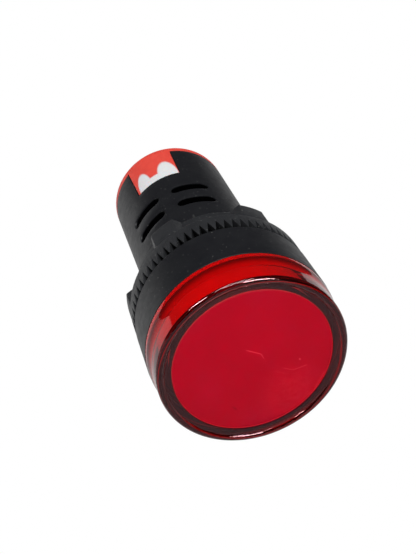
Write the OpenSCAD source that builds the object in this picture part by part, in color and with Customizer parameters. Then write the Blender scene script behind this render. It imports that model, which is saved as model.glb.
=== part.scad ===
// Panel indicator lamp for a 22 mm hole: a black housing with a round bezel and a threaded,
// vented barrel, a clear red lens cap over a diffuser, a toothed locking nut with six lugs,
// a red rear base with two screw terminals, and the lamp and driver boards inside.
// Frame: the origin is the centre of the bezel's back face, which seats on the panel.
// The lens faces -Y, the terminals face +Y, +Z is up. Units are millimetres.

/* [Bezel and lens] */
// outer diameter of the bezel
bezel_d = 28; // [27.8:0.1:30]
// bezel height in front of the panel
bezel_h = 7.8; // [7:0.1:9]
// lens front rim in front of the panel
lens_front = 13.7; // [13:0.1:16]
// height of the lens skirt that carries the bezel's line on
skirt_h = 1; // [0.5:0.1:1.5]
// how far the lens wall draws in above its skirt
lens_step = 0.35; // [0.2:0.05:0.5]
// thickness of the lens wall
lens_wall = 2.1; // [1.8:0.1:2.2]

/* [Barrel] */
// outside diameter of the panel thread
thread_d = 21.9; // [21.7:0.1:22]
// thread pitch
pitch = 1.5; // [1.2:0.1:2]
// where the thread's plain end collar stops, behind the panel face
thread_end = 11.8; // [11:0.1:13]
// barrel diameter at the thread
barrel_d = 20.4; // [20:0.1:20.8]
// barrel diameter at the rear edge
barrel_rear_d = 20.74; // [20.4:0.02:21]
// rear edge of the housing behind the panel face
barrel_len = 37.8; // [36:0.1:44]
// bore of the barrel
bore_d = 17.8; // [17.4:0.1:18]

/* [Vents and key] */
// direction of the key side, turned from straight up
key_turn = -26.2; // [-60:0.1:60]
// width of a vent slot
slot_w = 2; // [1.4:0.1:2.4]
// angle a vent slot spans
slot_span = 36; // [24:1:40]
// angle between the key side and the middle of a slot
slot_turn = 24.6; // [22:0.2:28]
// front row of vents behind the panel face
slot_front = 17.6; // [17:0.1:18]
// rear row of vents behind the panel face
slot_rear = 22.5; // [22:0.1:23.5]

/* [Locking nut] */
// outer diameter of the nut flange and lugs
nut_d = 27.9; // [27.4:0.1:28.4]
// hub diameter of the nut
hub_d = 25.1; // [24.6:0.1:26]
// rear end of the nut behind the panel face
nut_rear = 7.9; // [7.5:0.1:9]
// number of teeth on the nut's front
teeth = 72; // [48:12:96]
// depth of the teeth
tooth_h = 1.6; // [1:0.1:1.8]
// angle of a lug at its outer face
lug_span = 16.5; // [12:0.5:20]

/* [Rear base] */
// rear face of the base behind the panel face
base_rear = 39.3; // [38.8:0.1:46]
// half width of the tab at its front end
tab_half = 3.9; // [2.5:0.1:4.2]
// front end of the tab behind the panel face
tab_front = 28.5; // [27:0.1:30]
// depth of the terminal bays
bay_deep = 6.3; // [6:0.1:7]

/* [Hidden] */
$fn = 96;
bezel_r = bezel_d / 2;
thread_r = thread_d / 2;
thread_depth = 0.55;
barrel_r = barrel_d / 2;
barrel_rear_r = barrel_rear_d / 2;
bore_r = bore_d / 2;
cavity_r = bezel_r - 1;          // inside the bezel, where the lens spigot plugs in
floor_w = 2.2;                   // front of the bezel's floor, where the lamp board sits
groove = [thread_r, 12.35, 0.6]; // gasket groove: inner radius, outer radius, depth
collar_w = 1.8;
collar_front = thread_end - collar_w;
thread_front = 1.0;
key_half = 2.4;                  // half width of the flat that keys the thread
tab_flare = 0.3;                 // how much wider, each side, the tab is at the rear

skirt_r = bezel_r - 0.05;
taper_h = 1.5;                   // height over which the wall draws in
lens_r = skirt_r - lens_step;
bead_r = 0.6;
lens_in_r = lens_r - lens_wall;
spigot_r = cavity_r - 0.15;
spigot_deep = 3.6;
window_front = lens_front - 0.25;
window_t = 0.5;
joint_gap = 0.05;

diffuser_r = lens_in_r - 0.07;
diffuser_t = 1;
diffuser_front = window_front - window_t - joint_gap;
foot = [cavity_r - 0.2, 3.45, 4.15]; // diffuser's foot: radius, rear, front under the spigot

nut_r = nut_d / 2;
hub_r = hub_d / 2;
nut_bore_r = thread_r + 0.07;
nut_front = 0.25;
tooth_in_r = 12.5;
nut_face = 2;                    // recessed front face inside the ring of teeth
flange_rear = 4.1;
lugs = 6;
lug_turn = -36.3;
lug_flare = 4.5;                 // angle a lug widens by, each side, at the hub

board_t = 1.2;
board_half = 7.8;
board_front = 2;
board_rear = 28;
lamp_board_r = cavity_r - 0.3;
pin_r = 0.3;
pin_x = board_t / 2 + pin_r;
pin_y = 5;

base_gap = 0.05;
plug_r = bore_r - base_gap;
plug_front = 29;
floor_rear = base_rear - bay_deep;
floor_front = floor_rear - 1.4;
bay = [1, 6.6, 4.2];             // bay inner side, outer side, half length
screw_x = (bay[0] + bay[1]) / 2;
strip_t = 1;
plate = [5.2, 6.2, 0.8];
screw_r = 1.45;
head_r = 2.55;
head_h = 1.8;
strip_back = floor_rear + strip_t;
plate_back = strip_back + joint_gap + plate[2];
head_back = plate_back + head_h;
screw_front = floor_front - 1.2;

// a straight taper: barrel radius at a distance behind the panel face
function barrel_at(w) = barrel_r + (barrel_rear_r - barrel_r)
    * (w - thread_end) / (barrel_len - thread_end);

// the lamp's own axis runs along local z, from the panel face towards the lens
module lamp_axis() { rotate([90, 0, 0]) children(); }
// as lamp_axis, turned so that local +y points at the key side
module key_axis() { lamp_axis() rotate([0, 0, -key_turn]) children(); }

// ring or disc between two stations given behind the panel face
module ring(r_out, r_in, w_front, w_rear) {
    translate([0, 0, -w_rear]) difference() {
        cylinder(r = r_out, h = w_rear - w_front);
        if (r_in > 0) translate([0, 0, -1]) cylinder(r = r_in, h = w_rear - w_front + 2);
    }
}

// box between two corners given as [x, y, distance behind the panel face]
module block(a, b) {
    translate([a[0], a[1], -b[2]]) cube([b[0] - a[0], b[1] - a[1], b[2] - a[2]]);
}

// ---------------------------------------------------------------- housing

module thread_profile() {
    turns = floor((collar_front - 0.5 - thread_front) / pitch);
    root = thread_r - thread_depth;
    for (i = [0 : turns - 1]) {
        top = -(thread_front + 0.2 + i * pitch);
        polygon([[root - 0.1, top], [root, top], [thread_r, top - 0.42],
                 [thread_r, top - 0.72], [root, top - 1.14], [root - 0.1, top - 1.14]]);
    }
}

module vent_slot(w) {
    half = slot_span / 2 - asin(slot_w / 2 / barrel_r);
    rotate([0, 0, 90 - half]) translate([0, 0, -w - slot_w / 2])
        rotate_extrude(angle = 2 * half) translate([bore_r - 1, 0]) square([3.5, slot_w]);
    for (a = [-half, half])
        rotate([0, 0, -a]) translate([0, bore_r - 1, -w]) rotate([-90, 0, 0])
            cylinder(r = slot_w / 2, h = 3.5, $fn = 32);
}

// prism through the wall with the tab's outline, from radius r_in out; grow widens it all round
module tab_prism(grow, rear, r_in) {
    side = tab_half + grow;
    translate([0, r_in, 0]) rotate([-90, 0, 0]) linear_extrude(height = 14 - r_in)
        polygon([[-side, tab_front - grow], [side, tab_front - grow],
                 [side + tab_flare, rear], [-side - tab_flare, rear]]);
}

module housing() color("#26282a") key_axis() difference() {
    union() {
        rotate_extrude() polygon([
            [bore_r, -barrel_len], [barrel_rear_r - 0.15, -barrel_len],
            [barrel_rear_r, -barrel_len + 0.15], [barrel_r, -thread_end - 0.3],
            [thread_r - 0.3, -thread_end], [thread_r, -thread_end + 0.15],
            [thread_r, -collar_front], [thread_r - thread_depth, -collar_front + 0.4],
            [thread_r - thread_depth, -thread_front], [thread_r, -thread_front + 0.3],
            [thread_r, groove[2]], [groove[1], groove[2]], [groove[1], 0],
            [bezel_r - 0.25, 0], [bezel_r, 0.25], [bezel_r, bezel_h - 0.2],
            [bezel_r - 0.2, bezel_h], [cavity_r, bezel_h], [cavity_r, floor_w],
            [bore_r, floor_w]]);
        rotate_extrude() thread_profile();
    }
    // keying flat along the thread, under the key side
    block([-key_half, barrel_r, thread_front], [key_half, thread_r + 1, thread_end + 0.5]);
    for (side = [0, 180], turn = [-slot_turn, slot_turn], w = [slot_front, slot_rear])
        rotate([0, 0, side - turn]) vent_slot(w);
    tab_prism(0.1, barrel_len + 1, bore_r - 1);
}

// ------------------------------------------------------------ lens and light

module lens_cap() color("#c8102e", 0.5) lamp_axis() rotate_extrude() {
    polygon([
        [0, window_front - window_t], [lens_in_r, window_front - window_t],
        [lens_in_r, bezel_h - spigot_deep], [spigot_r - 0.2, bezel_h - spigot_deep],
        [spigot_r, bezel_h - spigot_deep + 0.3], [spigot_r, bezel_h + joint_gap],
        [skirt_r, bezel_h + joint_gap], [skirt_r, bezel_h + skirt_h],
        [lens_r, bezel_h + skirt_h + taper_h], [lens_r, lens_front - bead_r],
        [lens_r - bead_r, lens_front - bead_r], [lens_r - bead_r, window_front],
        [0, window_front]]);
    translate([lens_r - bead_r, lens_front - bead_r]) circle(r = bead_r, $fn = 32);
}

module diffuser() color("#d8243c") lamp_axis() rotate_extrude()
    polygon([
        [0, diffuser_front - diffuser_t], [diffuser_r - diffuser_t, diffuser_front - diffuser_t],
        [diffuser_r - diffuser_t, foot[1]], [foot[0], foot[1]],
        [foot[0], foot[2]], [diffuser_r, foot[2]],
        [diffuser_r, diffuser_front - 0.2], [diffuser_r - 0.2, diffuser_front],
        [0, diffuser_front]]);

module lamp_board() color("#e8e6dc") key_axis() difference() {
    ring(lamp_board_r, 0, -floor_w - board_t, -floor_w);
    for (y = [-pin_y, pin_y])
        translate([pin_x, y, floor_w - 1]) cylinder(r = pin_r + 0.1, h = board_t + 2, $fn = 24);
}

// one surface-mounted light chip: a square case with a round well
module chip() difference() {
    translate([-1.75, -1.4, 0]) cube([3.5, 2.8, 0.9]);
    translate([0, 0, 0.5]) cylinder(r = 1.1, h = 1, $fn = 32);
}

module led_chips() color("#f3e9a8") key_axis() translate([0, 0, floor_w + board_t]) {
    chip();
    for (i = [0 : 5]) rotate([0, 0, 60 * i]) translate([8, 0, 0]) chip();
}

module led_resistors() color("#303030") key_axis() translate([0, 0, floor_w + board_t])
    for (i = [0 : 2]) rotate([0, 0, 30 + 120 * i]) translate([8.2, -0.6, 0]) cube([2, 1.2, 0.5]);

module lead_pins() color("#c9c9c9") key_axis()
    for (y = [-pin_y, pin_y])
        translate([pin_x, y, -board_front - 3])
            cylinder(r = pin_r, h = board_front + 3 + floor_w + board_t + 0.6, $fn = 24);

module solder_fillets() color("#bfc3c6") key_axis()
    for (y = [-pin_y, pin_y])
        translate([pin_x, y, floor_w + board_t]) rotate_extrude($fn = 32)
            polygon([[pin_r + 0.02, 0], [0.85, 0], [pin_r + 0.02, 0.5]]);

// -------------------------------------------------------- gasket and nut

module panel_gasket() color("#1c1c1c") lamp_axis()
    ring(groove[1] - joint_gap, groove[0] + 0.1, joint_gap - groove[2], 0.7);

// a groove between two teeth, cut inwards along the radius
module tooth_gap() {
    half = tooth_in_r * sin(180 / teeth) - 0.02;
    translate([0, tooth_in_r - 0.6, 0]) rotate([-90, 0, 0]) linear_extrude(height = 3)
        polygon([[0, nut_front + tooth_h], [half, nut_front], [half, nut_front - 1],
                 [-half, nut_front - 1], [-half, nut_front]]);
}

// outline of a lug looking in along its radius: wide at the flange, slanted sides
module lug() {
    outer = nut_r * sin(lug_span / 2);
    inner = hub_r * sin(lug_span / 2 + lug_flare);
    intersection() {
        ring(nut_r - 0.05, 0, flange_rear - 0.5, nut_rear);
        translate([0, 0, -nut_rear]) linear_extrude(height = nut_rear)
            polygon([[-inner, hub_r - 0.6], [-outer, nut_r + 0.1], [outer, nut_r + 0.1],
                     [inner, hub_r - 0.6]]);
    }
}

module lock_nut() color("#2b2d2f") lamp_axis() difference() {
    union() {
        rotate_extrude() polygon([
            [nut_bore_r, -nut_face], [tooth_in_r, -nut_face], [tooth_in_r, -nut_front],
            [nut_r, -nut_front], [nut_r, -flange_rear + 0.2], [nut_r - 0.2, -flange_rear],
            [hub_r, -flange_rear], [hub_r, -nut_rear + 0.3], [hub_r - 0.3, -nut_rear],
            [nut_bore_r + 0.4, -nut_rear], [nut_bore_r, -nut_rear + 0.4]]);
        for (i = [0 : lugs - 1]) rotate([0, 0, -(lug_turn + i * 360 / lugs)]) lug();
    }
    for (i = [0 : teeth - 1]) rotate([0, 0, i * 360 / teeth]) tooth_gap();
}

// ------------------------------------------------------------- driver board

module driver_board() color("#2f6b3c") key_axis()
    block([-board_t / 2, -board_half, board_front], [board_t / 2, board_half, board_rear]);

module film_capacitor() color("#a03028") key_axis() {
    x = board_t / 2;
    block([x + 0.4, -5, 5.5], [x + 5.2, 5, 14.3]);
    for (y = [-3.75, 3.75])
        translate([x, y, -9]) rotate([0, 90, 0]) cylinder(r = 0.3, h = 0.4, $fn = 24);
}

module smoothing_capacitor() color("#31384a") key_axis() {
    r = 2.6;
    translate([-board_t / 2 - r - 0.2, 2.6, -15]) {
        cylinder(r = r, h = 9.4);
        for (y = [-1, 1]) translate([0, y, -1.6]) {
            cylinder(r = 0.25, h = 1.6, $fn = 24);
            translate([-0.25, 0, 0.25]) rotate([0, 90, 0])
                cylinder(r = 0.25, h = r + 0.45, $fn = 24);
        }
    }
}

module bridge_rectifier() color("#1f1f22") key_axis() {
    x = -board_t / 2;
    block([x - 2.6, -6, 8], [x - 0.4, -2, 13]);
    for (y = [-5.6, -2.6], w = [9, 11.6])
        block([x - 0.4, y, w], [x, y + 0.6, w + 0.5]);
}

module bleed_resistor() color("#c8a878") key_axis() {
    x = board_t / 2 + 1.5;
    translate([x, 0, -17]) rotate([90, 0, 0]) {
        translate([0, 0, -3]) cylinder(r = 1.2, h = 6, $fn = 48);
        translate([0, 0, -4.6]) cylinder(r = 0.25, h = 9.2, $fn = 24);
    }
    for (y = [-4.35, 4.35])
        translate([board_t / 2, y, -17]) rotate([0, 90, 0]) cylinder(r = 0.25, h = 1.5, $fn = 24);
}

module varistor() color("#2a5db0") key_axis() {
    x = board_t / 2;
    translate([x + 0.3, 0, -22.2]) rotate([0, 90, 0]) cylinder(r = 2.6, h = 2.2, $fn = 48);
    for (y = [-1.4, 1.4])
        translate([x, y, -22.2]) rotate([0, 90, 0]) cylinder(r = 0.3, h = 0.3, $fn = 24);
}

module zener_diode() color("#b5502a") key_axis() {
    x = -board_t / 2 - 1.2;
    translate([x, 0, -21]) rotate([90, 0, 0]) {
        translate([0, 0, -1.8]) cylinder(r = 0.95, h = 3.6, $fn = 32);
        translate([0, 0, -3.2]) cylinder(r = 0.25, h = 6.4, $fn = 24);
    }
    for (y = [-2.95, 2.95])
        translate([x, y, -21]) rotate([0, 90, 0]) cylinder(r = 0.25, h = 1.2, $fn = 24);
}

// ---------------------------------------------------------------- rear base

module terminal_base() color("#cc3a2e") key_axis() difference() {
    union() {
        // flange that closes the housing
        rotate_extrude() polygon([
            [0, -base_rear], [barrel_rear_r - 0.4, -base_rear], [barrel_rear_r - 0.12, -base_rear + 0.12],
            [barrel_rear_r, -base_rear + 0.4], [barrel_rear_r, -barrel_len - base_gap],
            [0, -barrel_len - base_gap]]);
        ring(plug_r, 0, plug_front, barrel_len + 0.5);
        // tab let into the housing wall, flush with the barrel
        intersection() {
            tab_prism(0, barrel_len + 0.5, 1);
            rotate_extrude() polygon([
                [bore_r - 1, -barrel_len - 0.5], [barrel_rear_r, -barrel_len - 0.5],
                [barrel_at(tab_front), -tab_front], [bore_r - 1, -tab_front]]);
        }
    }
    // hollow under the terminal floor
    ring(plug_r - 1.2, 0, tab_front - 1, floor_front);
    for (side = [0, 1]) mirror([side, 0, 0]) {
        block([bay[0], -bay[2], floor_rear], [bay[1], bay[2], base_rear + 1]);
        block([board_t / 2, -1.6, floor_front - 1], [1.55, 1.6, floor_rear + 1]);
        translate([screw_x, 0, -floor_rear - 1]) cylinder(r = screw_r + 0.25, h = 4, $fn = 48);
    }
}

// brass strip in a bay: a plate under the clamp and a tongue to the driver board
module strip() difference() {
    union() {
        block([bay[0] + 0.05, -3.6, floor_rear], [bay[1] - 0.1, 3.6, strip_back]);
        block([board_t / 2 + 0.02, -1.5, board_rear - 3], [board_t / 2 + 0.82, 1.5, strip_back - 0.2]);
        block([board_t / 2 + 0.02, -1.5, floor_rear], [2, 1.5, strip_back - 0.2]);
    }
    translate([screw_x, 0, -strip_back - 1]) cylinder(r = screw_r + 0.08, h = 3, $fn = 48);
}

module terminal_strip_left() color("#c9a24a") key_axis() mirror([1, 0, 0]) strip();
module terminal_strip_right() color("#c9a24a") key_axis() strip();

// square clamp plate with a grip groove across its front face at each side of the screw
module clamp() translate([screw_x, 0, -plate_back]) difference() {
    translate([-plate[0] / 2, -plate[1] / 2, 0]) cube(plate);
    for (side = [-1, 1])
        translate([-plate[0] / 2 - 1, side * 2.3 - 0.3, plate[2] - 0.25])
            cube([plate[0] + 2, 0.6, 1]);
    translate([0, 0, -1]) cylinder(r = screw_r + 0.1, h = 3, $fn = 48);
}

module clamp_plate_left() color("#b9bdc1") key_axis() mirror([1, 0, 0]) clamp();
module clamp_plate_right() color("#b9bdc1") key_axis() clamp();

// pan-head screw with a cross recess, its head at the rear
module screw() translate([screw_x, 0, 0]) difference() {
    union() {
        translate([0, 0, -head_back]) rotate_extrude($fn = 64) polygon([
            [0, 0], [head_r - 0.6, 0], [head_r - 0.15, 0.3], [head_r, 0.8],
            [head_r, head_h - 0.02], [0, head_h - 0.02]]);
        translate([0, 0, -plate_back - 0.5]) cylinder(r = screw_r, h = plate_back + 0.5 - screw_front, $fn = 48);
    }
    for (a = [0, 90]) rotate([0, 0, a])
        translate([-1.6, -0.35, -head_back - 1]) cube([3.2, 0.7, 2]);
}

module terminal_screw_left() color("#d5d8da") key_axis() translate([-2 * screw_x, 0, 0]) screw();
module terminal_screw_right() color("#d5d8da") key_axis() screw();

housing();
lens_cap();
diffuser();
lamp_board();
led_chips();
led_resistors();
lead_pins();
solder_fillets();
panel_gasket();
lock_nut();
driver_board();
film_capacitor();
smoothing_capacitor();
bridge_rectifier();
bleed_resistor();
varistor();
zener_diode();
terminal_base();
terminal_strip_left();
terminal_strip_right();
clamp_plate_left();
clamp_plate_right();
terminal_screw_left();
terminal_screw_right();
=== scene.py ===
import math

import bmesh
import bpy
import numpy as np
from mathutils import Matrix, Vector


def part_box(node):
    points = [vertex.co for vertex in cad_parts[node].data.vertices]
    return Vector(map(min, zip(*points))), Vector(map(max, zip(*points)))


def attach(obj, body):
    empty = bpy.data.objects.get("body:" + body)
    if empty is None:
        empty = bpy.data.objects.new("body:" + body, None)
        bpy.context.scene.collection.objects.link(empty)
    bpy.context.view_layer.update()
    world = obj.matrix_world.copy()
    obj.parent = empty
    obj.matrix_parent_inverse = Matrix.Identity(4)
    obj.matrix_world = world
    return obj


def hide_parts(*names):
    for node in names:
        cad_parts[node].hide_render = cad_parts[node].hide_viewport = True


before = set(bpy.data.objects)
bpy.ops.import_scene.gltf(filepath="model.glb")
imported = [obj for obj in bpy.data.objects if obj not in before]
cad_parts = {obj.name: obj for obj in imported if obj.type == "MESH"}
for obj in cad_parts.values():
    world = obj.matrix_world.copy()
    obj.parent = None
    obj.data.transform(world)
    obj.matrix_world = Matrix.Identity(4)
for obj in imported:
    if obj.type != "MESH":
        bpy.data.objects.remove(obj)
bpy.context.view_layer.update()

# ---------------------------------------------------------------- sizes, in millimetres
# Stations run along the lamp's axis from the panel face, positive towards the lens. Lengths
# behind the panel, such as BARREL_LEN and NUT_REAR, are positive and become minus stations.
MM = 0.001
lens_lo, lens_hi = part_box("lens_cap")
nut_lo, nut_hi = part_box("lock_nut")
house_lo, house_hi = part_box("housing")
LENS_FRONT = -lens_lo.y / MM
BEZEL_R = house_hi.x / MM
BEZEL_H = -house_lo.y / MM
BARREL_LEN = house_hi.y / MM
BASE_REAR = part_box("terminal_base")[1].y / MM
NUT_R = nut_hi.x / MM
NUT_FRONT = nut_lo.y / MM
NUT_REAR = nut_hi.y / MM
LENS_SPIGOT = -lens_hi.y / MM

KEY = -26.2  # direction of the key side, in degrees from straight up
JOINT_GAP = 0.05
BORE_R = 8.9
BARREL_R, BARREL_REAR_R = 10.2, 10.37
THREAD_R, THREAD_ROOT, PITCH = 10.95, 10.4, 1.5
THREAD_END = 11.8
COLLAR_FRONT = THREAD_END - 1.8  # where the plain collar behind the thread starts
ROOT_FLAT, FLANK = 0.18, 0.42  # half the thread's flat root, and the run of one flank
KEY_FLAT, FLAT_RAMP = 2.3, 0.35  # half width of the flat along the thread, and its soft edge
VENT_HALF, VENT_SPAN, VENT_TURN, VENT_ROWS = 1.0, 36, 24.6, (17.6, 22.5)
CAVITY_R, FLOOR_W = BEZEL_R - 1, 2.2
GROOVE_R, GROOVE_W = 12.35, 0.6
SKIRT_R, LENS_R, LENS_IN_R = 13.95, 13.6, 11.5
BEAD_R = 0.6
WINDOW_FRONT, WINDOW_BACK = LENS_FRONT - 0.25, LENS_FRONT - 0.75
DIFFUSER_R = 11.43
SEAT_R, SEAT_W = 11.3, 8.9  # up to this station the lens touches the diffuser, with no air gap
SPIGOT_R, FOOT_R = 12.85, 12.8
HUB_R, NUT_BORE_R, FLANGE_REAR = 12.55, 11.02, 4.1
TOOTH_IN_R, NUT_FACE = 12.5, 2.0  # the face inside the ring of teeth lies this far back
TEETH, TOOTH_H, TOOTH_TIP = 72, 2.3, 0.32  # count, height, half a tooth's flat tip in degrees
LUGS, LUG_TURN, LUG_TOP, LUG_BASE = 6, -36.3, 8.25, 12.75  # a lug's half widths in degrees
TAB_HALF, TAB_FRONT, TAB_FLARE = 3.9, 28.5, 0.3
BAY_DEEP, BAY_FLOOR, PLUG_FRONT, PLUG_WALL = 6.3, 1.4, 29.0, 1.2
SCREW_OFF = 3.8  # a terminal screw's distance from the lamp's axis
BASE_SEGMENTS = 264  # so that no joint between facets runs along the tab's sides


def at(r, w, phi):
    """A point at radius r, station w and angle phi from straight up, in metres."""
    a = math.radians(phi)
    return Vector((r * math.sin(a), -w, r * math.cos(a))) * MM


def keyed(x, y, w):
    """A point in the frame turned to the key side: x across it, y outwards through it."""
    a = math.radians(KEY)
    return Vector((x * math.cos(a) + y * math.sin(a), -w, -x * math.sin(a) + y * math.cos(a))) * MM


# ---------------------------------------------------------------- mesh helpers
def rounded(points, steps=5):
    """Closed profile of (r, w) or (r, w, fillet): each corner with a fillet becomes a curve."""
    out, n = [], len(points)
    for i, p in enumerate(points):
        here = Vector(p[:2])
        before, after = Vector(points[i - 1][:2]), Vector(points[(i + 1) % n][:2])
        if len(p) < 3:
            out.append(tuple(here))
            continue
        u, v = before - here, after - here
        reach = min(p[2] / max(math.tan(u.angle(v) / 2), 0.05), u.length * 0.48, v.length * 0.48)
        a, b = here + u.normalized() * reach, here + v.normalized() * reach
        for k in range(steps + 1):
            t = k / steps
            out.append(tuple(a * (1 - t) ** 2 + here * 2 * t * (1 - t) + b * t ** 2))
    return out


def revolve(profile, seg=288):
    """Closed ring or solid from a closed profile of (r, w)."""
    bm = bmesh.new()
    rings = []
    for k in range(seg):
        phi = 360 * k / seg
        rings.append([bm.verts.new(at(r, w, phi)) for r, w in profile])
    n = len(profile)
    for k in range(seg):
        a, b = rings[k], rings[(k + 1) % seg]
        for i in range(n):
            j = (i + 1) % n
            bm.faces.new((a[i], a[j], b[j], b[i]))
    bmesh.ops.remove_doubles(bm, verts=bm.verts, dist=1e-8)
    bmesh.ops.dissolve_degenerate(bm, dist=1e-9, edges=bm.edges)
    bmesh.ops.recalc_face_normals(bm, faces=bm.faces)
    return bm


def loft(loops):
    """Closed solid through rings of points: the last ring joins the first."""
    bm = bmesh.new()
    rings = [[bm.verts.new(p) for p in loop] for loop in loops]
    for k in range(len(rings)):
        a, b = rings[k], rings[(k + 1) % len(rings)]
        for i in range(len(a)):
            j = (i + 1) % len(a)
            bm.faces.new((a[i], a[j], b[j], b[i]))
    bmesh.ops.recalc_face_normals(bm, faces=bm.faces)
    return bm


def prism(bottom, top):
    """Closed solid between two outlines of the same count."""
    bm = bmesh.new()
    a = [bm.verts.new(p) for p in bottom]
    b = [bm.verts.new(p) for p in top]
    bm.faces.new(a)
    bm.faces.new(b)
    for i in range(len(a)):
        j = (i + 1) % len(a)
        bm.faces.new((a[i], a[j], b[j], b[i]))
    bmesh.ops.recalc_face_normals(bm, faces=bm.faces)
    return bm


def across_axis(outline, w0, w1):
    """Prism between two stations, from an outline of (x, y) in the key side's frame."""
    return prism([keyed(x, y, w0) for x, y in outline], [keyed(x, y, w1) for x, y in outline])


def tab_prism(half, front, rear, inner, outer):
    """Prism of the tab's flared outline, between two heights above the axis."""
    outline = [(-half, front), (half, front), (half + TAB_FLARE, rear), (-half - TAB_FLARE, rear)]
    return prism([keyed(x, inner, -w) for x, w in outline], [keyed(x, outer, -w) for x, w in outline])


def joined(parts):
    """All parts in one mesh, as one cutter."""
    bm = bmesh.new()
    for p in parts:
        mesh = bpy.data.meshes.new("part")
        p.to_mesh(mesh)
        p.free()
        bm.from_mesh(mesh)
        bpy.data.meshes.remove(mesh)
    return bm


def make(name, bm):
    """New object from a mesh under construction."""
    mesh = bpy.data.meshes.new(name)
    bm.to_mesh(mesh)
    bm.free()
    ob = bpy.data.objects.new(name, mesh)
    bpy.context.scene.collection.objects.link(ob)
    return ob


def apply_modifiers(ob):
    """Replace the object's mesh by what its modifiers make of it."""
    bpy.context.view_layer.update()
    done = bpy.data.meshes.new_from_object(ob.evaluated_get(bpy.context.evaluated_depsgraph_get()))
    old = ob.data
    ob.modifiers.clear()
    ob.data = done
    bpy.data.meshes.remove(old)


def cut(ob, cutter, operation="DIFFERENCE"):
    """Exact boolean of a mesh under construction with an object."""
    tool = make("tool", cutter)
    m = ob.modifiers.new("cut", "BOOLEAN")
    m.operation, m.object, m.solver = operation, tool, "EXACT"
    apply_modifiers(ob)
    bpy.data.objects.remove(tool)


def bevel(ob, width, segments, angle):
    """Small round edges, in millimetres, where faces meet at more than the angle."""
    m = ob.modifiers.new("bevel", "BEVEL")
    m.width, m.segments = width * MM, segments
    m.limit_method, m.angle_limit = "ANGLE", math.radians(angle)
    m.use_clamp_overlap = False
    m.miter_outer = "MITER_ARC"
    apply_modifiers(ob)


def finish(ob, body, nodes, material, sharp=38, flat_faces=False):
    """Shade, colour and attach a piece; flat_faces keeps its large plain faces evenly shaded."""
    ob.data.shade_smooth()
    ob.data.set_sharp_from_angle(angle=math.radians(sharp))
    ob.data.materials.clear()
    ob.data.materials.append(material)
    if flat_faces:
        m = ob.modifiers.new("even", "WEIGHTED_NORMAL")
        m.keep_sharp = True
        apply_modifiers(ob)
    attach(ob, body)
    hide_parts(*nodes)
    return ob


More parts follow.
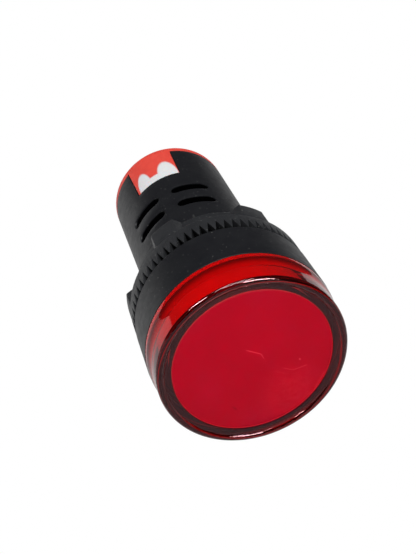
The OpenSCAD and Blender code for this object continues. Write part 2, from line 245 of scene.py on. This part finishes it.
# ---------------------------------------------------------------- material helpers
class Tree:
    """A material's node tree, with the object's own coordinates in millimetres."""

    def __init__(self, name):
        self.material = bpy.data.materials.new(name)
        self.material.use_nodes = True
        self.nodes, self.links = self.material.node_tree.nodes, self.material.node_tree.links
        self.nodes.clear()
        self.out = self.nodes.new("ShaderNodeOutputMaterial")
        coords = self.add("ShaderNodeTexCoord").outputs["Object"]
        self.mm = self.vector("SCALE", coords, Scale=1000.0)

    def add(self, kind, props=None, **sockets):
        n = self.nodes.new(kind)
        for key, value in (props or {}).items():
            setattr(n, key, value)
        for key, value in sockets.items():
            self.feed(n.inputs[key.replace("_", " ")], value)
        return n

    def feed(self, socket, value):
        if isinstance(value, bpy.types.NodeSocket):
            self.links.new(value, socket)
        else:
            socket.default_value = value

    def vector(self, operation, a, b=None, **sockets):
        n = self.add("ShaderNodeVectorMath", {"operation": operation}, **sockets)
        self.feed(n.inputs[0], a)
        if b is not None:
            self.feed(n.inputs[1], b)
        return n.outputs[0]

    def math(self, operation, a, b=0.0):
        n = self.add("ShaderNodeMath", {"operation": operation})
        self.feed(n.inputs[0], a)
        self.feed(n.inputs[1], b)
        return n.outputs[0]

    def split(self):
        """The three coordinates, in millimetres."""
        return self.add("ShaderNodeSeparateXYZ", Vector=self.mm).outputs

    def from_axis(self, x, z):
        """Distance from the lamp's axis."""
        return self.math("SQRT", self.math("ADD", self.math("MULTIPLY", x, x), self.math("MULTIPLY", z, z)))

    def flattened(self):
        """The place on a face across the axis: y is dropped."""
        return self.vector("MULTIPLY", self.mm, (1.0, 0.0, 1.0))

    def noise(self, scale, detail=3.0, rough=0.5, at_=None):
        return self.add("ShaderNodeTexNoise", Vector=at_ or self.mm, Scale=scale,
                        Detail=detail, Roughness=rough).outputs["Fac"]

    def remap(self, value, lo, hi, to_lo=0.0, to_hi=1.0, smooth=False):
        n = self.add("ShaderNodeMapRange", {"interpolation_type": "SMOOTHSTEP" if smooth else "LINEAR"},
                     Value=value)
        for key, v in (("From Min", lo), ("From Max", hi), ("To Min", to_lo), ("To Max", to_hi)):
            n.inputs[key].default_value = v
        return n.outputs["Result"]

    def mix(self, factor, a, b):
        n = self.add("ShaderNodeMix", {"data_type": "RGBA"})
        self.feed(n.inputs[0], factor)
        self.feed(n.inputs[6], a)
        self.feed(n.inputs[7], b)
        return n.outputs[2]

    def distance(self, a, b):
        n = self.add("ShaderNodeVectorMath", {"operation": "DISTANCE"})
        self.feed(n.inputs[0], a)
        self.feed(n.inputs[1], b)
        return n.outputs["Value"]

    def stroke(self, flat, a, b, half, strength):
        """Mask along a straight mark between two (x, z) points on a face across the axis."""
        start = Vector((a[0], 0.0, a[1]))
        run = Vector((b[0], 0.0, b[1])) - start
        n = self.add("ShaderNodeVectorMath", {"operation": "DOT_PRODUCT"})
        self.feed(n.inputs[0], self.vector("SUBTRACT", flat, tuple(start)))
        self.feed(n.inputs[1], tuple(run / run.length_squared))
        along = self.add("ShaderNodeClamp", Value=n.outputs["Value"]).outputs[0]
        foot = self.add("ShaderNodeVectorMath", {"operation": "MULTIPLY_ADD"})
        self.feed(foot.inputs[0], self.add("ShaderNodeCombineXYZ", X=along, Y=along, Z=along).outputs[0])
        self.feed(foot.inputs[1], tuple(run))
        self.feed(foot.inputs[2], tuple(start))
        return self.remap(self.distance(flat, foot.outputs[0]), half, half * 0.3, 0.0, strength)

    def bump(self, height, distance_mm, strength=1.0, normal=None):
        n = self.add("ShaderNodeBump", Height=height, Distance=distance_mm * MM, Strength=strength)
        if normal is not None:
            self.feed(n.inputs["Normal"], normal)
        return n.outputs["Normal"]

    def shader(self, **sockets):
        p = self.add("ShaderNodeBsdfPrincipled", **sockets)
        self.links.new(p.outputs[0], self.out.inputs["Surface"])
        return p


def rgb(r, g, b):
    return (r, g, b, 1.0)


def moulded(name, colour, lighter, rough=(0.38, 0.5), grain=0.006, dust=0.35, skin=None):
    """Moulded plastic: fine grain, uneven gloss, faint flow marks and a little dust.

    Inside the radius skin, as in the barrel's bore and vents, painted shade turns it near black and dims its
    reflections."""
    t = Tree(name)
    tone = t.remap(t.noise(0.35, 4.0, 0.6), 0.35, 0.7)
    specks = t.remap(t.noise(3.1, 1.0, 0.3), 0.745, 0.77)
    colour_out = t.mix(t.math("MULTIPLY", specks, dust), t.mix(tone, colour, lighter), rgb(0.4, 0.4, 0.38))
    patches = t.remap(t.noise(0.8, 5.0, 0.65), 0.3, 0.72, rough[0], rough[1])
    along = t.vector("MULTIPLY", t.mm, (1.0, 9.0, 1.0))
    scuffs = t.remap(t.noise(0.5, 2.0, 0.5, along), 0.6, 0.8, 0.0, 0.06)
    height = t.math("ADD", t.noise(9.0, 2.0, 0.6), t.math("MULTIPLY", t.noise(1.4, 3.0, 0.5), 0.7))
    p = t.shader(Base_Color=colour_out, Roughness=t.math("ADD", patches, scuffs),
                 Normal=t.bump(height, grain))
    if skin is not None:
        # Painted shade: inside the skin radius the colour goes near black and the specular tint dark, for
        # the shaded bore and vents.
        inside = t.remap(t.distance(t.flattened(), (0.0, 0.0, 0.0)), skin - 0.1, skin, 1.0, 0.0)
        t.feed(p.inputs["Base Color"], t.mix(inside, colour_out, rgb(0.0006, 0.0006, 0.0008)))
        t.feed(p.inputs["Specular Tint"], t.mix(inside, rgb(1.0, 1.0, 1.0), rgb(0.03, 0.03, 0.035)))
    p.inputs["IOR"].default_value = 1.5
    p.inputs["Specular IOR Level"].default_value = 0.36
    return t.material


def metal(name, colour, darker, rough=(0.22, 0.4)):
    """Bare or plated metal with a fine grain and darker stains."""
    t = Tree(name)
    grain = t.noise(6.0, 3.0, 0.6)
    stain = t.remap(t.noise(0.7, 4.0, 0.6), 0.4, 0.75)
    t.shader(Base_Color=t.mix(stain, colour, darker), Metallic=1.0,
             Roughness=t.remap(grain, 0.3, 0.7, rough[0], rough[1]), Normal=t.bump(grain, 0.004))
    return t.material


# ---------------------------------------------------------------- materials
# The black plastic carries painted shade inside the barrel's skin radius.
black = moulded("black_plastic", rgb(0.0074, 0.0077, 0.0098), rgb(0.0106, 0.0111, 0.0130),
                dust=0.25, skin=BARREL_R - 0.08)
nut_black = moulded("nut_plastic", rgb(0.018, 0.0188, 0.0212), rgb(0.025, 0.026, 0.0285),
                    rough=(0.42, 0.54))
rubber = moulded("gasket_rubber", rgb(0.012, 0.012, 0.013), rgb(0.02, 0.02, 0.02),
                 rough=(0.6, 0.75), dust=0.1)
brass = metal("brass", rgb(0.75, 0.53, 0.2), rgb(0.45, 0.3, 0.12))
steel = metal("zinc_plate", rgb(0.72, 0.73, 0.75), rgb(0.5, 0.49, 0.45))
solder = metal("solder", rgb(0.62, 0.63, 0.65), rgb(0.45, 0.45, 0.46), rough=(0.15, 0.35))


def red_base_material():
    """Tomato-red moulding with a plain white patch printed at the front of the tab."""
    t = Tree("red_base")
    x, y, z = t.split()
    angle = t.math("SUBTRACT", t.math("ARCTAN2", x, z), math.radians(KEY))
    across = t.math("MULTIPLY", angle, BARREL_REAR_R)

    def blob(cx, cw, rx, rw):
        """Below 1 inside an ellipse: centre and radii across the tab and along the barrel."""
        dx = t.math("DIVIDE", t.math("SUBTRACT", across, cx), rx)
        dw = t.math("DIVIDE", t.math("SUBTRACT", y, cw), rw)
        return t.math("ADD", t.math("MULTIPLY", dx, dx), t.math("MULTIPLY", dw, dw))

    near = t.math("MINIMUM", blob(-2.25, 28.8, 1.35, 4.9), blob(2.25, 28.8, 1.75, 5.1))
    near = t.math("MINIMUM", near, blob(0.3, 28.2, 3.7, 2.3))
    on_skin = t.math("GREATER_THAN", t.from_axis(x, z), BARREL_R - 0.25)
    patch = t.math("MULTIPLY", t.remap(near, 1.2, 0.8, 0.0, 1.0, smooth=True), on_skin)
    tone = t.remap(t.noise(0.5, 4.0, 0.6), 0.3, 0.7)
    red = t.mix(tone, rgb(0.78, 0.066, 0.045), rgb(0.86, 0.085, 0.06))
    p = t.shader(Base_Color=t.mix(patch, red, rgb(0.80, 0.80, 0.81)),
                 Roughness=t.remap(t.noise(0.9, 4.0, 0.6), 0.3, 0.7, 0.38, 0.5),
                 Normal=t.bump(t.math("ADD", t.noise(7.0, 2.0), patch), 0.006))
    p.inputs["Subsurface Weight"].default_value = 0.12
    p.inputs["Subsurface Radius"].default_value = (0.0012, 0.0003, 0.0002)
    return t.material


# Faint scratches under the window, listed one by one: start, end (x, z), half width and strength.
FACE_MARKS = (
    ((-1.1, 2.1), (1.1, 1.05), 0.075, 0.5), ((1.1, 1.05), (1.4, 0.3), 0.07, 0.4),
    ((6.7, -0.75), (6.75, -0.85), 0.14, 0.5), ((4.4, -1.9), (5.8, -2.5), 0.10, 0.2),
    ((5.8, -2.5), (7.8, -2.0), 0.12, 0.22), ((3.2, -2.2), (4.6, -2.9), 0.08, 0.13),
    ((10.6, -3.6), (9.1, -6.9), 0.16, 0.12), ((9.1, -6.9), (5.6, -9.2), 0.16, 0.1),
)


def diffuser_material():
    """Translucent crimson with a faint painted glow near the window, brighter painted colour and glow on its
    side wall, and painted shade deeper down inside the bezel.
    """
    t = Tree("red_diffuser")
    y = t.split()[1]
    # Painted shade: colour and glow fade to near black deeper inside the bezel, where the bezel shades the
    # diffuser.
    painted_shade_depth = t.remap(y, -8.2, -6.0, 1.0, 0.06, smooth=True)
    # Painted light: the side wall gets brighter colour and glow than the front face, for light reaching it
    # through the lens's wall.
    side = t.remap(y, -12.85, -12.7)
    tone = t.remap(t.noise(0.25, 3.0, 0.5), 0.3, 0.7)
    flat = t.flattened()
    face = t.mix(tone, rgb(0.15, 0.0, 0.022), rgb(0.168, 0.0, 0.026))
    cloud = t.remap(t.distance(flat, (5.6, 0.0, -6.2)), 0.5, 6.5, 0.13, 0.0, smooth=True)
    marks = t.math("MULTIPLY", cloud, t.remap(t.noise(1.6, 6.0, 0.75), 0.3, 0.65))
    for a, b, half, strength in FACE_MARKS:
        marks = t.math("MAXIMUM", marks, t.stroke(flat, a, b, half, strength))
    pit = t.math("MAXIMUM", t.stroke(flat, (-2.6, -7.6), (-2.5, -7.7), 0.28, 0.55),
                 t.stroke(flat, (-2.9, -7.2), (-2.2, -8.0), 0.16, 0.4))
    face = t.mix(pit, t.mix(marks, face, rgb(0.80, 0.20, 0.30)), rgb(0.02, 0.0, 0.003))
    # Painted glow: the emission stands in for light scattered through the diffuser, which is not alight.
    face_painted_glow = t.mix(pit, rgb(0.115, 0.0, 0.006), rgb(0.02, 0.0, 0.002))
    # Side wall: brighter painted colour here and brighter painted glow below.
    base = t.mix(side, face, rgb(0.26, 0.0, 0.0))
    painted_glow = t.mix(side, face_painted_glow, rgb(0.25, 0.0, 0.0))
    p = t.shader(Base_Color=t.mix(painted_shade_depth, rgb(0.03, 0.0, 0.002), base),
                 Emission_Color=t.mix(painted_shade_depth, rgb(0.01, 0.0, 0.0), painted_glow),
                 Roughness=t.remap(t.noise(2.5, 3.0, 0.6), 0.3, 0.7, 0.45, 0.6),
                 Normal=t.bump(t.noise(6.0, 2.0), 0.004))
    p.inputs["Specular IOR Level"].default_value = 0.04
    p.inputs["Specular Tint"].default_value = rgb(1.0, 0.05, 0.25)
    # Full strength for the painted glow.
    p.inputs["Emission Strength"].default_value = 1.0
    return t.material


def lens_material():
    """Clear red plastic: faint haze and scuffs in its gloss, redder the deeper light goes."""
    t = Tree("clear_red_lens")
    x, _, z = t.split()
    rim = t.remap(t.from_axis(x, z), DIFFUSER_R - 0.1, DIFFUSER_R + 0.1)
    haze = t.remap(t.noise(0.28, 5.0, 0.65), 0.5, 0.8, 0.0, 0.02)
    stretched = t.vector("MULTIPLY", t.mm, (1.0, 1.0, 3.5))
    fine = t.remap(t.noise(2.2, 6.0, 0.7, stretched), 0.6, 0.78, 0.0, 0.02)
    cloud = t.remap(t.noise(0.16, 3.0, 0.6), 0.5, 0.7)
    window_tint = t.mix(cloud, rgb(1.0, 0.0, 0.15), rgb(1.0, 0.05, 0.3))
    p = t.add("ShaderNodeBsdfPrincipled", Base_Color=rgb(1.0, 0.86, 0.88),
              Roughness=t.math("ADD", t.math("ADD", haze, fine), 0.015),
              Specular_Tint=t.mix(rim, window_tint, rgb(1.0, 0.62, 0.68)),
              Normal=t.bump(t.noise(0.22, 2.0, 0.4), 0.0006))
    p.inputs["IOR"].default_value = 1.49
    p.inputs["Transmission Weight"].default_value = 1.0
    clear = t.add("ShaderNodeBsdfTransparent", Color=rgb(0.9, 0.3, 0.34))
    lamp_rays = t.add("ShaderNodeLightPath").outputs["Is Shadow Ray"]
    both = t.add("ShaderNodeMixShader")
    t.feed(both.inputs[0], lamp_rays)
    t.links.new(p.outputs[0], both.inputs[1])
    t.links.new(clear.outputs[0], both.inputs[2])
    t.links.new(both.outputs[0], t.out.inputs["Surface"])
    tint = t.add("ShaderNodeVolumeAbsorption", Color=rgb(0.94, 0.04, 0.10), Density=1500.0)
    t.links.new(tint.outputs[0], t.out.inputs["Volume"])
    return t.material


red_base = red_base_material()
diffuser_red = diffuser_material()
lens_red = lens_material()


# ---------------------------------------------------------------- housing
def barrel_radius(w):
    """Outer radius of the slightly tapered barrel at station w behind the panel."""
    run = (w - THREAD_END) / (BARREL_LEN - THREAD_END)
    return BARREL_R + (BARREL_REAR_R - BARREL_R) * run


def vent_cutter(phi, station):
    """Slot with round ends through the barrel's wall, its middle at an angle and a station."""
    half_run = math.radians(VENT_SPAN / 2) * BARREL_R - VENT_HALF
    arc_points = 20
    outline = []
    for end, start in ((1, -math.pi / 2), (-1, math.pi / 2)):
        for k in range(arc_points):
            a = math.pi * (k / (arc_points - 1)) + start
            outline.append((end * half_run + VENT_HALF * math.cos(a), VENT_HALF * math.sin(a)))
    return prism(*[[at(r, -station + dw, phi + math.degrees(ds / BARREL_R)) for ds, dw in outline]
                   for r in (BORE_R - 0.8, BARREL_REAR_R + 0.8)])


def housing_body():
    """Bezel and barrel in one moulding, with its vents and the notch for the tab."""
    plain = THREAD_END + 0.3
    between_vents = (24.3, 20.05, 15.8)
    skin = [(barrel_radius(w), -w) for w in (36.0, 33.0, 30.0, 27.0, *between_vents, plain)]
    ob = make("housing_body", revolve(rounded([
        (BORE_R, -BARREL_LEN, 0.12), (BARREL_REAR_R, -BARREL_LEN, 0.18), *skin,
        (BARREL_R, -1.0), (THREAD_R, -0.75, 0.1), (THREAD_R, GROOVE_W), (GROOVE_R, GROOVE_W),
        (GROOVE_R, 0.0, 0.08), (BEZEL_R, 0.0, 0.28), (BEZEL_R, BEZEL_H, 0.08), (CAVITY_R, BEZEL_H, 0.15),
        (CAVITY_R, FLOOR_W), (BORE_R, FLOOR_W, 0.1)])))
    cutters = [vent_cutter(KEY + side + turn, w)
               for side in (0, 180) for turn in (-VENT_TURN, VENT_TURN) for w in VENT_ROWS]
    cutters.append(tab_prism(TAB_HALF + 0.1, TAB_FRONT - 0.1, BARREL_LEN + 1,
                             BORE_R - 1.4, BARREL_REAR_R + 1))
    cut(ob, joined(cutters))
    bevel(ob, 0.1, 2, 40)
    finish(ob, "lamp", ["housing"], black, flat_faces=True)


def thread_height(w, phi):
    """Radius of the threaded sleeve's surface at station w behind the panel."""
    off = (phi - KEY + 180) % 360 - 180
    across = abs(math.radians(off)) * THREAD_R
    if w > COLLAR_FRONT:
        chamfer = (w - (THREAD_END - 0.15)) * 2.5
        r = THREAD_R - max(chamfer, 0.0)
    else:
        s = (w + PITCH * phi / 360 - 0.4) % PITCH
        rise = min(max(min(s - ROOT_FLAT, PITCH - ROOT_FLAT - s) / FLANK, 0.0), 1.0)
        fade = min(max((COLLAR_FRONT - w) / 0.3, 0.0), 1.0)
        r = THREAD_ROOT + (THREAD_R - THREAD_ROOT) * rise * fade
    flat_r = BARREL_R - JOINT_GAP
    out = min(max((across - KEY_FLAT) / FLAT_RAMP, 0.0), 1.0)
    return flat_r + (r - flat_r) * out * out * (3 - 2 * out)


def thread_sleeve():
    """Helical thread with a plain collar behind it, let into the barrel's wall."""
    first, spacing, count, inner = 0.9, 0.075, 148, BORE_R + 0.4
    rows = [first + spacing * k for k in range(count)]
    loops = [[at(inner, -rows[0], p) for p in range(360)]]
    for w in rows:
        loops.append([at(thread_height(w, p), -w, p) for p in range(360)])
    loops.append([at(inner, -rows[-1], p) for p in range(360)])
    finish(make("panel_thread", loft(loops)), "lamp", ["housing"], black, 30)


# ---------------------------------------------------------------- lens and diffuser
def lens():
    """Clear cap: window, raised bead round it, wall tapering out to a skirt, and spigot."""
    mid = LENS_R - BEAD_R
    bead = [(mid + BEAD_R * math.cos(a), LENS_FRONT - BEAD_R + BEAD_R * math.sin(a))
            for a in np.linspace(0, math.radians(145), 22)]
    profile = rounded([
        (0.0, WINDOW_BACK), (LENS_IN_R, WINDOW_BACK, 0.08), (LENS_IN_R, SEAT_W), (SEAT_R, SEAT_W - 0.1),
        (SEAT_R, LENS_SPIGOT, 0.1), (SPIGOT_R, LENS_SPIGOT, 0.25), (SPIGOT_R, BEZEL_H + JOINT_GAP),
        (SKIRT_R, BEZEL_H + JOINT_GAP, 0.08), (SKIRT_R, BEZEL_H + 1.0, 4.0), (LENS_R, BEZEL_H + 2.5, 5.0),
        (LENS_R, LENS_FRONT - BEAD_R)])
    profile += bead[1:] + [(mid - BEAD_R * 0.9, WINDOW_FRONT + 0.02), (mid - BEAD_R * 1.05, WINDOW_FRONT)]
    profile += [(0.0, WINDOW_FRONT)]
    finish(make("lens", revolve(profile, 360)), "lens", ["lens_cap"], lens_red, 50)


def diffuser():
    """Cup behind the window, with a wide foot under the lens's spigot."""
    foot_front, foot_back, wall = LENS_SPIGOT - JOINT_GAP, LENS_SPIGOT - 0.7, 1
    front = WINDOW_BACK - JOINT_GAP
    cup = revolve(rounded([
        (0.0, front - wall), (DIFFUSER_R - wall, front - wall, 0.3), (DIFFUSER_R - wall, foot_back),
        (FOOT_R, foot_back, 0.1), (FOOT_R, foot_front, 0.1), (DIFFUSER_R, foot_front, 0.1),
        (DIFFUSER_R, front, 0.1), (0.0, front)]))
    finish(make("diffuser_cup", cup), "lens", ["diffuser"], diffuser_red, 50)


# ---------------------------------------------------------------- nut and gasket
def tooth_front(phi):
    """Station of the nut's toothed front edge at an angle."""
    pitch = 360 / TEETH
    off = abs((phi / pitch + 0.5) % 1.0 - 0.5) * pitch
    return -NUT_FRONT - TOOTH_H * max(1 - off / (pitch / 2 - TOOTH_TIP), 0.0)


def lug_radius(phi):
    """Radius behind the flange: the hub's, or a lug's with its slanted sides."""
    apart = 360 / LUGS
    off = abs((phi - LUG_TURN + apart / 2) % apart - apart / 2)
    rise = min(max((LUG_BASE - off) / (LUG_BASE - LUG_TOP), 0.0), 1.0)
    return HUB_R + (NUT_R - 0.05 - HUB_R) * rise


def lock_nut():
    """Ring lofted through a section every quarter degree, each with small soft edges."""
    step = 0.25
    loops = []
    for k in range(int(360 / step)):
        phi = k * step
        r = sum(lug_radius(phi + d) for d in (-step, 0, step)) / 3
        wf = tooth_front(phi)
        profile = [
            (NUT_BORE_R, -NUT_FACE - 0.1), (NUT_BORE_R + 0.1, -NUT_FACE), (TOOTH_IN_R, -NUT_FACE),
            (TOOTH_IN_R, wf - 0.06),
            (TOOTH_IN_R + 0.06, wf), (NUT_R - 0.1, wf), (NUT_R - 0.03, wf - 0.03), (NUT_R, wf - 0.1),
            (NUT_R, -FLANGE_REAR + 0.22), (max(NUT_R - 0.06, r), -FLANGE_REAR + 0.07),
            (max(NUT_R - 0.2, r), -FLANGE_REAR), (r + 0.12 * (NUT_R - r), -FLANGE_REAR - 0.02),
            (r, -FLANGE_REAR - 0.15), (r, -NUT_REAR + 0.35), (r - 0.04, -NUT_REAR + 0.18),
            (r - 0.16, -NUT_REAR + 0.05), (r - 0.32, -NUT_REAR), (NUT_BORE_R + 0.45, -NUT_REAR),
            (NUT_BORE_R + 0.1, -NUT_REAR + 0.15), (NUT_BORE_R, -NUT_REAR + 0.4)]
        loops.append([at(a, w, phi) for a, w in profile])
    finish(make("toothed_nut", loft(loops)), "nut", ["lock_nut"], nut_black, 34)


def gasket():
    """Rubber ring in the groove of the bezel's back."""
    lo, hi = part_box("panel_gasket")
    front, back = -lo.y / MM, -hi.y / MM
    inner, outer = THREAD_R + 0.1, GROOVE_R - JOINT_GAP
    ring = revolve(rounded([
        (inner, front, 0.12), (inner, back, 0.2), (outer, back, 0.25), (outer, front, 0.12)]), 192)
    finish(make("gasket_ring", ring), "gasket", ["panel_gasket"], rubber)


# ---------------------------------------------------------------- rear base
def circle(cx, radius, count):
    """Outline of a round hole centred on (cx, 0)."""
    return [(cx + radius * math.cos(a), radius * math.sin(a))
            for a in np.linspace(0, 2 * math.pi, count + 1)[:-1]]


def rear_base():
    """Red rim, plug and tab in one moulding, with two terminal bays open to the rear."""
    floor_rear = BASE_REAR - BAY_DEEP
    floor_front = BASE_REAR - (BAY_DEEP + BAY_FLOOR)
    plug_r, tab_in_r = BORE_R - JOINT_GAP, BORE_R - 0.6
    plug_in_r = plug_r - PLUG_WALL
    ob = make("rear_base", revolve(rounded([
        (0.0, -BASE_REAR), (BARREL_REAR_R, -BASE_REAR, 0.4), (BARREL_REAR_R, -BARREL_LEN - JOINT_GAP, 0.05),
        (plug_r, -BARREL_LEN - JOINT_GAP), (plug_r, -PLUG_FRONT, 0.15), (plug_in_r, -PLUG_FRONT),
        (plug_in_r, -floor_front), (0.0, -floor_front)]), BASE_SEGMENTS))
    tab_rear = BARREL_LEN + 0.4
    shell = make("tab_shell", revolve([
        (tab_in_r, -tab_rear), (BARREL_REAR_R, -tab_rear),
        (barrel_radius(TAB_FRONT), -TAB_FRONT), (tab_in_r, -TAB_FRONT)], BASE_SEGMENTS))
    cut(shell, tab_prism(TAB_HALF, TAB_FRONT - 1, BARREL_LEN + 0.5, 1.0, 14.0), "INTERSECT")
    tab = bmesh.new()
    tab.from_mesh(shell.data)
    bpy.data.objects.remove(shell)
    cut(ob, tab, "UNION")
    # The bays are cut after the bevel, because a bevel on them leaves slits in the rear face.
    bevel(ob, 0.09, 2, 40)
    for s in (-1, 1):
        bay = (1.0, 6.6, 4.2, -floor_rear, -BASE_REAR - 1)
        strip_slot = (0.6, 1.55, 1.6, -floor_front + 1, -floor_rear - 1)
        for x0, x1, y, w0, w1 in (bay, strip_slot):
            corners = [(s * x0, -y), (s * x1, -y), (s * x1, y), (s * x0, y)]
            cut(ob, across_axis(corners, w0, w1))
    cut(ob, joined([across_axis(circle(s * SCREW_OFF, 1.7, 48), -floor_front + 1, -floor_rear - 0.5)
                    for s in (-1, 1)]))
    finish(ob, "lamp", ["terminal_base"], red_base, flat_faces=True)


# ---------------------------------------------------------------- terminals
def screws():
    """Pan-head screws with a crossed slot, their thread as level rings round the shank."""
    head_r, shank_r, root_r, head_t, pitch = 2.54, 1.44, 1.2, 1.8, 0.5
    slot_half, slot_t, slot_deep, slot_turn = 1.6, 0.36, 1.0, 20
    for side, s in (("left", -1), ("right", 1)):
        lo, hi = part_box(f"terminal_screw_{side}")
        back, front = hi.y / MM, lo.y / MM
        under = back - head_t
        profile = [(0.0, -back), (1.95, -back), (2.25, -back + 0.12), (2.45, -back + 0.4),
                   (head_r, -back + 0.85), (head_r, -under - 0.12), (2.45, -under), (shank_r, -under)]
        w = under
        while w - pitch > front + 0.3:
            profile += [(shank_r, -w + 0.02), (shank_r, -w + 0.12), (root_r, -w + 0.3), (shank_r, -w + 0.48)]
            w -= pitch
        profile += [(shank_r, -front - 0.3), (1.15, -front), (0.0, -front)]
        ob = make(f"screw_{side}", revolve(profile, 96))
        ob.data.transform(Matrix.Translation(keyed(SCREW_OFF * s, 0, 0)))
        turn = math.radians(slot_turn * s)
        bevel(ob, 0.05, 2, 50)
        for half_x, half_y in ((slot_half, slot_t), (slot_t, slot_half)):
            corners = [(-half_x, -half_y), (half_x, -half_y), (half_x, half_y), (-half_x, half_y)]
            spun = [(x * math.cos(turn) - y * math.sin(turn) + SCREW_OFF * s,
                     x * math.sin(turn) + y * math.cos(turn)) for x, y in corners]
            cut(ob, across_axis(spun, -back + slot_deep, -back - 1.0))
        finish(ob, f"screw_{side}", [f"terminal_screw_{side}"], steel, flat_faces=True)


housing_body()
thread_sleeve()
lens()
diffuser()
lock_nut()
gasket()
rear_base()
screws()


# ---------------------------------------------------------------- CAD pieces that stay
def plain_part(name, colour, lighter):
    """Smooth, nearly dust-free plastic or lacquer for the boards and what sits on them."""
    return moulded(name, colour, lighter, rough=(0.3, 0.42), grain=0.003, dust=0.1)


KEPT = {
    "lamp_board": plain_part("white_board", rgb(0.78, 0.77, 0.72), rgb(0.84, 0.83, 0.8)),
    "driver_board": plain_part("green_board", rgb(0.02, 0.13, 0.04), rgb(0.03, 0.17, 0.06)),
    "led_chips": plain_part("chip_case", rgb(0.8, 0.68, 0.28), rgb(0.85, 0.76, 0.4)),
    "led_resistors": plain_part("chip_resistor", rgb(0.02, 0.02, 0.02), rgb(0.04, 0.04, 0.04)),
    "film_capacitor": plain_part("film_case", rgb(0.35, 0.04, 0.03), rgb(0.42, 0.06, 0.04)),
    "smoothing_capacitor": plain_part("sleeve", rgb(0.02, 0.025, 0.06), rgb(0.03, 0.04, 0.09)),
    "bridge_rectifier": plain_part("rectifier_case", rgb(0.02, 0.02, 0.02), rgb(0.03, 0.03, 0.03)),
    "bleed_resistor": plain_part("resistor_lacquer", rgb(0.5, 0.36, 0.2), rgb(0.56, 0.42, 0.25)),
    "varistor": plain_part("varistor_dip", rgb(0.02, 0.1, 0.4), rgb(0.03, 0.13, 0.46)),
    "zener_diode": plain_part("diode_glass", rgb(0.4, 0.1, 0.03), rgb(0.5, 0.15, 0.05)),
    "lead_pins": solder, "solder_fillets": solder,
    "terminal_strip_left": brass, "terminal_strip_right": brass,
    "clamp_plate_left": steel, "clamp_plate_right": steel,
}
for name, material in KEPT.items():
    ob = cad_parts[name]
    ob.data.materials.clear()
    ob.data.materials.append(material)


# ---------------------------------------------------------------- floor, light and camera
def shine(tree, kind, output_kind, others, tint=(1, 1, 1)):
    """White to rays straight from the camera, and dimmer, maybe tinted, to all other rays."""
    tree.nodes.clear()
    output = tree.nodes.new(output_kind)
    mix = tree.nodes.new("ShaderNodeMixShader")
    path = tree.nodes.new("ShaderNodeLightPath")
    tree.links.new(path.outputs["Is Camera Ray"], mix.inputs[0])
    for socket, strength, colour in ((1, others, tint), (2, 1.0, (1, 1, 1))):
        node = tree.nodes.new(kind)
        node.inputs["Color"].default_value = rgb(*colour)
        node.inputs["Strength"].default_value = strength
        tree.links.new(node.outputs[0], mix.inputs[socket])
    tree.links.new(mix.outputs[0], output.inputs["Surface"])


FLOOR_Z, FLOOR_SIZE = -0.045, 3.0
floor_mesh = bpy.data.meshes.new("floor")
floor_mesh.from_pydata([(-FLOOR_SIZE, -FLOOR_SIZE, FLOOR_Z), (FLOOR_SIZE, -FLOOR_SIZE, FLOOR_Z),
                        (FLOOR_SIZE, FLOOR_SIZE, FLOOR_Z), (-FLOOR_SIZE, FLOOR_SIZE, FLOOR_Z)],
                       [], [(0, 1, 2, 3)])
floor = bpy.data.objects.new("floor", floor_mesh)
bpy.context.scene.collection.objects.link(floor)
paper = bpy.data.materials.new("pale_floor")
paper.use_nodes = True
shine(paper.node_tree, "ShaderNodeEmission", "ShaderNodeOutputMaterial", 0.66)
floor_mesh.materials.append(paper)

world = bpy.data.worlds.new("studio")
bpy.context.scene.world = world
world.use_nodes = True
shine(world.node_tree, "ShaderNodeBackground", "ShaderNodeOutputWorld", 0.055, (0.94, 0.96, 1.0))

# The two small glint lights fall on the lens only, as flags would arrange in a studio.
glossy_pieces = bpy.data.collections.new("glossy_pieces")
glossy_pieces.objects.link(bpy.data.objects["lens"])


def softbox(name, direction, distance, width, height, power, glints_only=False):
    """Area light turned to the origin; one for glints lights only the glossy pieces."""
    data = bpy.data.lights.new(name, "AREA")
    data.shape, data.size, data.size_y, data.energy = "RECTANGLE", width, height, power
    ob = bpy.data.objects.new(name, data)
    ob.location = Vector(direction).normalized() * distance
    ob.rotation_euler = (-Vector(direction)).to_track_quat("-Z", "Y").to_euler()
    ob.visible_camera = False
    ob.visible_transmission = False
    bpy.context.scene.collection.objects.link(ob)
    if glints_only:
        ob.visible_diffuse = False
        ob.light_linking.receiver_collection = glossy_pieces


softbox("key", (-0.1, -0.35, 0.93), 0.6, 0.4, 0.3, 4.3)
softbox("glint_right", (0.28, -0.80, 0.50), 0.5, 0.20, 0.18, 3.6, True)
softbox("glint_left", (-0.62, -0.38, 0.62), 0.5, 0.26, 0.12, 3.2, True)

camera_data = bpy.data.cameras.new("camera")
camera_data.sensor_width = 36.0
camera_data.lens = 55.08
camera_data.clip_start, camera_data.clip_end = 0.01, 20
camera = bpy.data.objects.new("camera", camera_data)
camera.location = Vector((-29.42, -101.6, 69.03)) * MM
camera.rotation_euler = Vector((0.216, 0.8307, -0.513)).to_track_quat("-Z", "Y").to_euler()
bpy.context.scene.collection.objects.link(camera)
bpy.context.scene.camera = camera
bpy.context.scene.view_settings.view_transform = "Standard"
